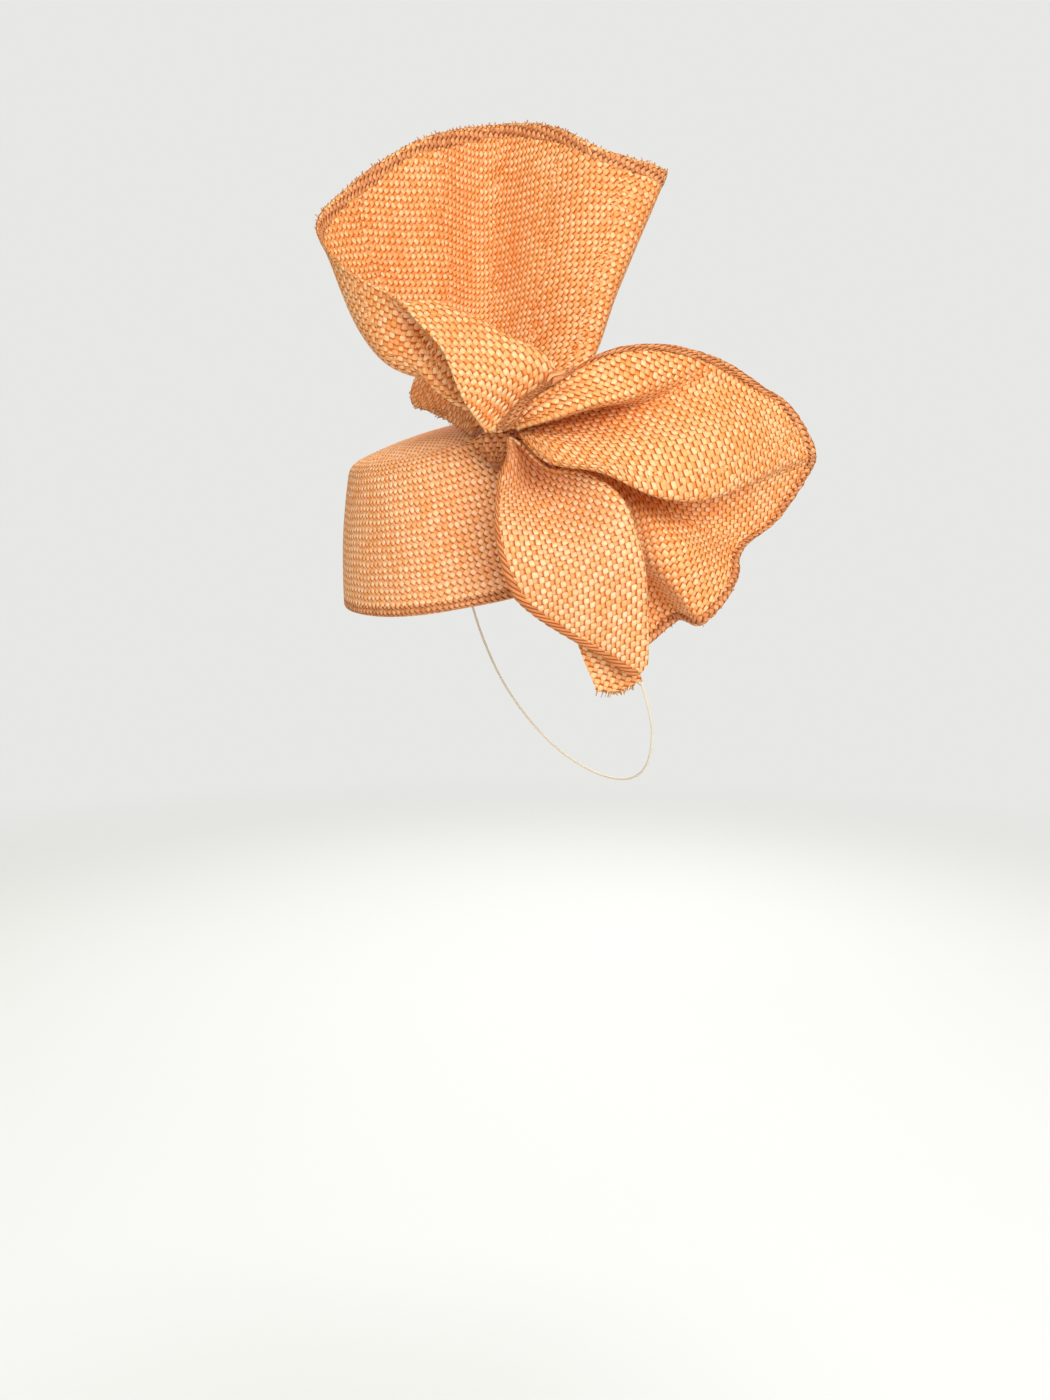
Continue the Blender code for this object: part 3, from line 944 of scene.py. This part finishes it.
def rolled_hem(
    name,
    edges,
    width,
    thickness,
    material,
    settings,
    inset=0.35,
    sizes_along=((0, 1), (1, 1)),
    start_taper=HEM_TAPER,
    wrapped=True,
    lift_along=((0, 0), (1, 0)),
):
    """A hem along an edge of cloth: a flat roll, wrapped slantwise with straw or left as woven."""
    sizes = settings.hem
    edges, run = resampled(edges, HEM_SPACING)
    count = len(edges) - 1
    wraps = round(run / sizes.lay)
    towards = trim_way(0, 0, 1)
    roll = bmesh.new()
    bmesh.ops.create_grid(roll, x_segments=count, y_segments=HEM_SIDES, size=0.5)

    def place(vert):
        """The number of the place along the hem, the share of the way, and the turn round it."""
        k = round((vert.co.x + 0.5) * count)
        return k, k / count, vert.co.y + 0.5

    def phase_at(k, turn):
        """How many wrapped straws lie before a place."""
        return HEM_STRANDS * turn + wraps * k / count

    flat = roll.loops.layers.uv.new("flat")
    for face in roll.faces:
        for loop in face.loops:
            k, far, turn = place(loop.vert)
            if wrapped:
                loop[flat].uv = (phase_at(k, turn), far * run / sizes.lay)
            else:
                girth = HEM_GIRTH * width * between(far, sizes_along)
                loop[flat].uv = HEM_BIAS @ Vector((far * run, (turn - 0.5) * girth))
    for vert in roll.verts:
        k, far, turn = place(vert)
        angle = math.tau * turn
        end = min(1.0, far * run / start_taper, (1 - far) * run / HEM_TAPER)
        taper = math.sqrt(max(0.0, 1 - (1 - end) ** 2)) * (1 - HEM_TIP) + HEM_TIP
        if wrapped:
            phase = phase_at(k, turn)
            ridge = 1.0 - sizes.groove * (1.0 - abs(math.sin(math.pi * phase)) ** 0.6)
            seed = Vector((math.floor(phase) * 1.7, far * run * WRAP_LUMPS, 0.3))
            ridge *= 1.0 + WRAP_LUMP * noise.noise(seed)
        else:
            seed = Vector((far * run * ROPE_LUMPS, math.cos(angle), math.sin(angle)))
            ridge = 1.0 + ROPE_LUMP * noise.noise(seed)
        size = between(far, sizes_along)
        reach = 0.5 * width * taper * ridge * size
        rise = 0.5 * thickness * taper * ridge * size
        edge = edges[k]
        centre = edge.point - edge.outward * (width * inset * 0.5 * size)
        centre = centre + towards * between(far, lift_along)
        around = edge.outward * (reach * math.cos(angle)) + edge.normal * (rise * math.sin(angle))
        vert.co = centre + around
    bmesh.ops.remove_doubles(roll, verts=roll.verts, dist=1e-7)
    ends = [edge for edge in roll.edges if edge.is_boundary]
    bmesh.ops.holes_fill(roll, edges=ends, sides=HEM_SIDES + 2)
    bmesh.ops.recalc_face_normals(roll, faces=roll.faces)
    return add_piece(name, roll, material, "straw_cloth")


def hem_edges(drape, start=0, stop=None):
    """The places of a drape's outer hem."""
    last = drape.stations if stop is None else stop
    j = drape.steps
    numbers = range(start, last + 1)
    return [Edge(drape.points[i][j], drape.outward(i, j), drape.normal(i, j)) for i in numbers]


def first_edges(drape):
    """The places of a drape's first section, as a hem that faces away from the cloth."""
    numbers = range(drape.steps + 1)
    return [Edge(drape.points[0][j], -drape.sideways(0, j), drape.normal(0, j)) for j in numbers]


def root_edges(drape):
    """The places of a drape's roots, as a hem that faces away from the cloth."""
    numbers = range(drape.stations + 1)
    return [Edge(drape.points[i][0], -drape.outward(i, 0), -drape.normal(i, 0)) for i in numbers]


FRAY_SPACING = 0.0005
FRAY_ROOT = 0.0012  # how deep in the cloth a loose end starts
FRAY_WALL = 0.00022
FRAY_OUT = 0.0004  # how far outside the cone's hem its loose ends start


def frayed_ends(name, edges, count, reach, settings, seed, worn=False):
    """Loose straw ends along a raw edge: flat strips of many lengths, each bent a little."""
    dice = random.Random(seed)
    edges, _ = resampled(edges, FRAY_SPACING)
    strips = bmesh.new()
    flat = strips.loops.layers.uv.new("flat")
    for number in range(count):
        place = (number + dice.uniform(-0.3, 0.3)) / count
        edge = edges[min(len(edges) - 1, max(0, round(place * (len(edges) - 1))))]
        along = edge.normal.cross(edge.outward)
        long = reach * dice.uniform(0.35, 1.0)
        wide = settings.straw.pitch * dice.uniform(0.22, 0.5)
        lean = dice.uniform(-0.7, 0.7)
        lift = dice.uniform(-0.35, 0.35)
        made = bmesh.ops.create_grid(strips, x_segments=1, y_segments=4, size=0.5)
        for vert in made["verts"]:
            far = vert.co.y + 0.5
            side = vert.co.x * wide * (1.0 - 0.5 * far)
            for loop in vert.link_loops:
                loop[flat].uv = (number * 1.31 + vert.co.x, far)
            ahead = edge.outward + along * (lean * far) + edge.normal * (lift * far)
            vert.co = edge.point + ahead * (long * far - FRAY_ROOT) + along * side
    piece = add_piece(name, strips, hem_straw(settings, worn), "straw_cloth")
    add_wall(piece, FRAY_WALL)
    return piece


def cloth_sheet(drape):
    """Works out the area, width and reach of a piece of cloth, and does nothing with them."""
    area = drape.area()
    width = max(sum((b[-1] - a[-1]).length for a, b in zip(drape.points, drape.points[1:])), 0.02)
    reach = max(max(runs[-1] for runs in drape.all_runs()), area / width)


CAMERA_PLACE = (20.2, -31.0, 530.0)  # across, up and out, in millimetres
CAMERA_NOD = math.radians(4.36)
CAMERA_LENS = 24.97
CAMERA_SENSOR = 36.0
CAMERA_NEAR = 0.01


class FASCINATOR_OT_camera(Operator):
    """Add the camera, level with the rim and a little more than half a metre away"""

    bl_idname = "fascinator.camera"
    bl_label = "Camera"

    def execute(self, context):
        lens = bpy.data.cameras.new("camera")
        lens.sensor_width = CAMERA_SENSOR
        lens.lens = CAMERA_LENS
        lens.clip_start = CAMERA_NEAR
        camera = bpy.data.objects.new("camera", lens)
        camera.location = trim_way(*CAMERA_PLACE) * MM
        camera.rotation_euler = (math.pi / 2 - CAMERA_NOD, 0.0, TRIM_TURN)
        context.scene.collection.objects.link(camera)
        context.scene.camera = camera
        return {"FINISHED"}


ELASTIC_WIDTH = 0.0015


class FASCINATOR_OT_elastic(Operator):
    """Add the thin hat elastic that goes round the back of the head"""

    bl_idname = "fascinator.elastic"
    bl_label = "Elastic"

    def execute(self, context):
        settings = context.scene.fascinator
        route = [Vector(stop) * MM for stop in ELASTIC_ROUTE]
        marks = marks_along(route)
        places = [i / (ELASTIC_POINTS - 1) for i in range(ELASTIC_POINTS)]
        points = [point_on(route, marks, place) for place in places]
        curve = bpy.data.curves.new("hat_elastic", "CURVE")
        curve.dimensions = "3D"
        curve.bevel_depth = ELASTIC_WIDTH / 2
        curve.bevel_resolution = 4
        curve.use_fill_caps = True
        line = curve.splines.new("POLY")
        line.points.add(len(points) - 1)
        for knot, point in zip(line.points, points):
            knot.co = (*point, 1.0)
        curve.materials.append(cream_braid(settings))
        piece = bpy.data.objects.new("hat_elastic", curve)
        context.scene.collection.objects.link(piece)
        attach(piece, BODY)
        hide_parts("elastic")
        return {"FINISHED"}


def cap_turn(cap):
    lean = Matrix.Rotation(cap.tilt_left, 4, "Y")
    nod = Matrix.Rotation(cap.tilt_forward, 4, "X")
    return nod @ lean


def side_radius(cap, height):
    """The radius of the cap's outside at a height."""
    return cap.rim_radius - cap.lean * height - cap.bow * height**2


SIDE_RINGS = 26
SHOULDER_RINGS = 8
SHOULDER_END = math.radians(76.0)
TOP_RINGS = 16
FOLD_RINGS = 8
RIM_STEP = 0.0006  # from the rim's inner edge down to the full thickness
RIM_INSIDE = (0.007, 0.004)
RIM_OUTSIDE = (0.0035, 0.0055, 0.0078)


def cap_outline(cap, inset):
    """The cap's half outline from the turned rim's top to the crown's centre."""
    rise = cap.side_height - cap.hem_height
    heights = [cap.hem_height + rise * k / SIDE_RINGS for k in range(SIDE_RINGS + 1)]
    side = [(side_radius(cap, h) - inset, h) for h in heights]
    start = math.atan(cap.lean + 2 * cap.bow * cap.side_height)
    centre_r = side_radius(cap, cap.side_height) - cap.shoulder * math.cos(start)
    centre_h = cap.side_height - cap.shoulder * math.sin(start)
    bend = cap.shoulder - inset
    arc = SHOULDER_END - start
    turns = [start + arc * k / SHOULDER_RINGS for k in range(1, SHOULDER_RINGS + 1)]
    shoulder = [(centre_r + bend * math.cos(a), centre_h + bend * math.sin(a)) for a in turns]
    edge_r, edge_h = shoulder[-1]
    parts = [1 - k / TOP_RINGS for k in range(1, TOP_RINGS + 1)]
    return side + shoulder + [(edge_r * part, edge_h + cap.dome * (1 - part**2)) for part in parts]


def rim_outline(cap):
    """The turned-under rim, from the hem's inside round the fold and up to its outside."""
    thick = cap.wall + cap.hem_extra
    fold = thick / 2
    heights = (cap.hem_height - RIM_STEP, *RIM_INSIDE)
    inside = [(side_radius(cap, h) - thick, h) for h in heights]
    middle = side_radius(cap, fold) - fold
    turns = [math.pi * (1 + k / FOLD_RINGS) for k in range(FOLD_RINGS + 1)]
    bend = [(middle + fold * math.cos(a), fold + fold * math.sin(a)) for a in turns]
    return inside + bend + [(side_radius(cap, h), h) for h in RIM_OUTSIDE]


# How the cap's cloth is gathered towards the knot, in metres
GATHER_FOOT = trim_point(-4, 1, -12)
GATHER_END = 0.045
GATHER_REACH = 0.021
GATHER_PLEATS = 13.0
GATHER_TWIST = 200.0  # radians for each metre away from the foot
GATHER_HEIGHT = 0.0019  # of the pleats
GATHER_RISE = 0.0015  # of the cloth as a whole


def gathered(point):
    """How far the cap's cloth is drawn up into pleats towards the knot."""
    away = point - GATHER_FOOT
    distance = away.length
    if distance > GATHER_END:
        return 0.0
    local = TRIM.to_3x3().inverted() @ away
    turn = math.atan2(local.z, local.x)
    folds = 0.5 + 0.5 * math.cos(turn * GATHER_PLEATS + GATHER_TWIST * distance)
    drawn = math.exp(-((distance / GATHER_REACH) ** 2))
    return (GATHER_HEIGHT * folds + GATHER_RISE) * drawn


def near(angle, other):
    """The same angle, within half a turn of another."""
    return other + (angle - other + math.pi) % math.tau - math.pi


# The cap's flat map
CAP_BIAS = Matrix.Rotation(math.radians(45.0), 2)
CAP_STRETCH = 1.03  # over the top and up the side
CAP_STRETCH_ROUND = 0.92
CAP_STRETCH_SHOULDER = 0.7
TOP_EDGE = 1.1  # from the side to where the top's map starts, in shoulders
RIM_TOP = 0.0045  # where the rim's darker cloth, painted shade of its fold, ends


class FASCINATOR_OT_crown(Operator):
    """Turn the pillbox cap from its outline and draw its cloth up towards the knot"""

    bl_idname = "fascinator.crown"
    bl_label = "Crown"

    def execute(self, context):
        settings = context.scene.fascinator
        cap = settings.cap
        outline = cap_outline(cap, cap.wall)[::-1] + rim_outline(cap) + cap_outline(cap, 0.0)
        shell = bmesh.new()
        verts = [shell.verts.new((r, 0.0, h)) for r, h in outline]
        edges = [shell.edges.new(pair) for pair in zip(verts, verts[1:])]
        bmesh.ops.spin(
            shell,
            geom=verts + edges,
            cent=(0, 0, 0),
            axis=(0, 0, 1),
            angle=math.tau,
            steps=cap.steps,
            use_merge=True,
        )
        bmesh.ops.remove_doubles(shell, verts=shell.verts, dist=1e-7)
        bmesh.ops.recalc_face_normals(shell, faces=shell.faces)
        shell.normal_update()
        flat = shell.loops.layers.uv.new("flat")
        start_r = side_radius(cap, cap.side_height)
        edge = start_r - TOP_EDGE * cap.shoulder
        for face in shell.faces:
            middle = face.calc_center_median()
            facing = math.atan2(middle.y, middle.x)
            # The turned rim takes the darker cloth, painted shade of its fold
            face.material_index = int(middle.z < RIM_TOP)
            for loop in face.loops:
                co = loop.vert.co
                if middle.xy.length < edge:
                    place = co.xy * CAP_STRETCH
                else:
                    turn = near(math.atan2(co.y, co.x), facing)
                    climb = co.z * CAP_STRETCH
                    climb += max(0.0, start_r - co.xy.length) * CAP_STRETCH_SHOULDER
                    place = Vector((turn * CAP_STRETCH_ROUND * cap.rim_radius, climb))
                loop[flat].uv = CAP_BIAS @ place
        tilt = cap_turn(cap)
        for vert in shell.verts:
            point = tilt @ vert.co
            facing = tilt.to_3x3() @ vert.normal
            swell = noise.noise(point * CROWN_RIPPLES) * settings.straw.ripple
            if vert.normal.dot(Vector((vert.co.x, vert.co.y, 0.02))) > 0:
                swell += gathered(point)
            vert.co = point + facing * swell
        # The cap takes the paler copy of the straw, painted light
        pale = straw_cloth(settings, "pale")
        piece = add_piece("crown_cloth", shell, pale, "straw_cloth", "crown")
        piece.data.materials.append(straw_cloth(settings, "worn"))
        return {"FINISHED"}


class FASCINATOR_OT_fan(Operator):
    """Add the tall cone of straw cloth with its turned-over hem"""

    bl_idname = "fascinator.fan"
    bl_label = "Upper fan"

    def execute(self, context):
        settings = context.scene.fascinator
        drape = Drape(FAN_SECTIONS, FAN_PATCHES, 300, 84)
        folds = pleats(drape, 34, PLEAT_HEIGHT, 0.02)
        piece = cloth_piece("fan_cloth", drape, settings, "upper_fan", folds)
        sizes = settings.hem
        start = ((0, 0.3), (drape.share(4.6), 0.35), (drape.share(6.8), 1.0))
        # The hem and its frays take the darker tones, painted shade
        hem = rolled_hem(
            "fan_hem",
            hem_edges(drape),
            sizes.fan_width,
            sizes.fan_thickness,
            straw_cloth(settings, "worn"),
            settings,
            inset=0.9,
            sizes_along=(*start, (0.72, 1.0), (0.8, 0.6), (1, 0.6)),
            wrapped=False,
        )
        edges = [
            Edge(edge.point + edge.outward * FRAY_OUT, edge.outward, edge.normal)
            for edge in hem_edges(drape, round(drape.station(6.6)))
        ]
        frays = frayed_ends("fan_frays", edges, 300, 0.0026, settings, 3, worn=True)
        cloth_sheet(drape)
        return {"FINISHED"}


class FASCINATOR_OT_ruffle(Operator):
    """Add the pleated side ruffle with its rope-like rolled hem"""

    bl_idname = "fascinator.ruffle"
    bl_label = "Side ruffle"

    def execute(self, context):
        settings = context.scene.fascinator
        drape = Drape(RUFFLE_PLEATS, RUFFLE_PATCHES, 240, 72)
        folds = pleats(drape, 22, PLEAT_HEIGHT, 0.028)
        piece = cloth_piece("ruffle_cloth", drape, settings, "side_ruffle", folds)
        sizes = settings.hem
        # The hem takes the darker cloth, painted shade
        hem = rolled_hem(
            "ruffle_hem",
            first_edges(drape) + hem_edges(drape, 1),
            sizes.rope_width,
            sizes.rope_thickness,
            straw_cloth(settings, "worn"),
            settings,
            inset=0.15,
            sizes_along=((0, 1.8), (0.12, 1.7), (0.3, 1.1), (1, 0.9)),
            start_taper=0.006,
            wrapped=False,
            lift_along=((0, 0.0035), (0.1, 0.0028), (0.24, 0), (1, 0)),
        )
        tips = hem_edges(drape, round(drape.station(8.6)), round(drape.station(12.5)))
        frays = frayed_ends("ruffle_frays", tips, 90, 0.0042, settings, 7)
        cloth_sheet(drape)
        return {"FINISHED"}


class FASCINATOR_OT_leaf(Operator):
    """Add the scooped leaf that hangs from the knot over the rim"""

    bl_idname = "fascinator.leaf"
    bl_label = "Front leaf"

    def execute(self, context):
        settings = context.scene.fascinator
        drape = Drape(LEAF_SECTIONS, LEAF_PATCHES, 150, 64)
        # The leaf takes the paler copy of the straw, painted light
        piece = cloth_piece("leaf_cloth", drape, settings, "front_leaf", kind="pale")
        sizes = settings.hem
        # Its hem takes the darker straws, painted shade
        hem = rolled_hem(
            "leaf_hem",
            root_edges(drape),
            sizes.rope_width,
            sizes.rope_thickness,
            hem_straw(settings, True),
            settings,
            sizes_along=((0, 0.3), (0.4, 0.4), (0.62, 0.95), (1, 0.9)),
        )
        cloth_sheet(drape)
        return {"FINISHED"}


class FASCINATOR_OT_tail(Operator):
    """Add the cloth's raw end behind the leaf, with its frayed straws"""

    bl_idname = "fascinator.tail"
    bl_label = "Tail end"

    def execute(self, context):
        settings = context.scene.fascinator
        drape = Drape(TAIL_SECTIONS, TAIL_PATCHES, 60, 60)
        piece = cloth_piece("tail_cloth", drape, settings, "tail_end")
        frays = frayed_ends("tail_frays", hem_edges(drape), 44, 0.0042, settings, 5)
        cloth_sheet(drape)
        return {"FINISHED"}


KNOT_FOLDS = 13
KNOT_FOLD_DEPTH = 0.3
KNOT_SIZE = (12.0, 9.5, 8.5)  # across, out and up, in millimetres
KNOT_MAP = (0.0095, 0.009)  # metres of cloth for each radian and each share of the height


class FASCINATOR_OT_knot(Operator):
    """Add the gathered roll that holds the bow to the cap"""

    bl_idname = "fascinator.knot"
    bl_label = "Knot"

    def execute(self, context):
        settings = context.scene.fascinator
        wide, deep, tall = KNOT_SIZE
        roll = bmesh.new()
        bmesh.ops.create_uvsphere(roll, u_segments=144, v_segments=40, radius=1.0)
        flat = roll.loops.layers.uv.new("flat")
        for face in roll.faces:
            middle = face.calc_center_median()
            facing = math.atan2(middle.y, middle.x)
            for loop in face.loops:
                co = loop.vert.co
                turn = near(math.atan2(co.y, co.x), facing)
                loop[flat].uv = (turn * KNOT_MAP[0], co.z * KNOT_MAP[1])
        # A pleated roll, pinched at its foot, that leans out and sways aside towards its top
        for vert in roll.verts:
            x, y, z = vert.co
            fold = abs(math.sin(0.5 * KNOT_FOLDS * math.atan2(y, x))) ** 0.7
            girth = 1.0 - KNOT_FOLD_DEPTH * math.hypot(x, y) * (1.0 - fold)
            girth *= 0.6 + 0.45 * math.tanh(1.8 * z + 0.5)
            across = x * wide * girth - 0.5 + math.sin(2.0 * z)
            vert.co = trim_point(across, z * tall - 2.0, 3.5 + 5.5 * z - y * deep * girth)
        # The knot takes the darker cloth, painted shade in its gathers
        add_piece("knot_roll", roll, straw_cloth(settings, "worn"), "gathered_straw", "knot")
        return {"FINISHED"}


FLOOR_HEIGHT = -0.355
FLOOR_RADIUS = 3.0
FLOOR_FADE = (0.55, 1.6)  # from where the floor starts to fade to where it is gone
FLOOR_CLOUD = 0.985  # the darker tone of the floor
AIR_SEEN = 0.62
LIGHT_AIM = Vector((0.06, 0.0, 0.05))
LIGHTS = (
    # name, the way to it (across, up, out) in metres, size and power
    ("key", (0.38, 0.3, 1.2), 0.8, 14.8),
    ("fill", (-0.7, 0.5, 1.0), 1.2, 4.2),
    ("back", (0.1, 1.0, -0.9), 1.0, 24.0),
)


def pale_floor(tones):
    """The floor's pale finish, with faint clouds, that fades out far from the middle."""
    material, graph, shader = new_material("pale floor")
    place = graph.node("ShaderNodeTexCoord").outputs["Object"]
    cloud = graph.node("ShaderNodeTexNoise")
    cloud.inputs["Scale"].default_value = 3.0
    graph.feed(cloud.inputs["Vector"], place)
    darker = rgba([FLOOR_CLOUD * part for part in tones.floor])
    clouded = graph.tint(cloud.outputs["Fac"], darker, rgba(tones.floor))
    graph.feed(shader.inputs["Base Color"], clouded)
    away = graph.vector("LENGTH", place).node.outputs["Value"]
    graph.feed(shader.inputs["Alpha"], graph.ramp(away, *FLOOR_FADE, 1.0, 0.0))
    shader.inputs["Roughness"].default_value = 0.9
    return material


class FASCINATOR_OT_stage(Operator):
    """Add the pale floor, the surround and the soft lights"""

    bl_idname = "fascinator.stage"
    bl_label = "Stage"

    def execute(self, context):
        tones = context.scene.fascinator.colours
        ground = bmesh.new()
        bmesh.ops.create_circle(ground, cap_ends=True, segments=96, radius=FLOOR_RADIUS)
        bmesh.ops.translate(ground, verts=ground.verts, vec=(0.0, 0.0, FLOOR_HEIGHT))
        mesh = bpy.data.meshes.new("floor")
        ground.to_mesh(mesh)
        ground.free()
        mesh.materials.append(pale_floor(tones))
        floor = bpy.data.objects.new("floor", mesh)
        context.scene.collection.objects.link(floor)
        world = bpy.data.worlds.new("surround")
        world.use_nodes = True
        air = Graph(world.node_tree)
        background = world.node_tree.nodes["Background"]
        seen = air.node("ShaderNodeLightPath").outputs["Is Camera Ray"]
        air.feed(background.inputs["Color"], air.tint(seen, rgba(tones.glow), rgba(tones.air)))
        air.feed(background.inputs["Strength"], air.choose(seen, AIR_SEEN, 1.0))
        context.scene.world = world
        context.scene.view_settings.view_transform = "Standard"
        for name, way, size, power in LIGHTS:
            lamp = bpy.data.lights.new(name, "AREA")
            lamp.shape = "SQUARE"
            lamp.size = size
            lamp.energy = power
            light = bpy.data.objects.new(name, lamp)
            away = trim_way(*way)
            light.location = LIGHT_AIM + away
            light.rotation_euler = away.to_track_quat("Z", "Y").to_euler()
            light.visible_glossy = name != "back"
            context.scene.collection.objects.link(light)
        return {"FINISHED"}


class FASCINATOR_PT_panel(Panel):
    """Lists the pieces and the sizes that may be changed"""

    bl_label = "Fascinator"
    bl_idname = "FASCINATOR_PT_panel"
    bl_space_type = "VIEW_3D"
    bl_region_type = "UI"
    bl_category = "Fascinator"

    def draw(self, context):
        settings = context.scene.fascinator
        for maker in MAKERS:
            self.layout.operator(maker.bl_idname)
        for group in (settings.straw, settings.hem, settings.cap, settings.colours):
            box = self.layout.box()
            for name in group.__annotations__:
                box.prop(group, name)


GROUPS = (StrawSizes, HemSizes, CapSizes, Colours, FascinatorSettings)
MAKERS = (
    FASCINATOR_OT_camera,
    FASCINATOR_OT_elastic,
    FASCINATOR_OT_stage,
    FASCINATOR_OT_crown,
    FASCINATOR_OT_knot,
    FASCINATOR_OT_fan,
    FASCINATOR_OT_ruffle,
    FASCINATOR_OT_leaf,
    FASCINATOR_OT_tail,
)


def register():
    for part in (*GROUPS, *MAKERS, FASCINATOR_PT_panel):
        bpy.utils.register_class(part)
    bpy.types.Scene.fascinator = PointerProperty(type=FascinatorSettings)


def unregister():
    del bpy.types.Scene.fascinator
    for part in reversed((*GROUPS, *MAKERS, FASCINATOR_PT_panel)):
        bpy.utils.unregister_class(part)


def main():
    register()
    for maker in MAKERS:
        group, name = maker.bl_idname.split(".")
        getattr(getattr(bpy.ops, group), name)()


if __name__ == "__main__":
    main()
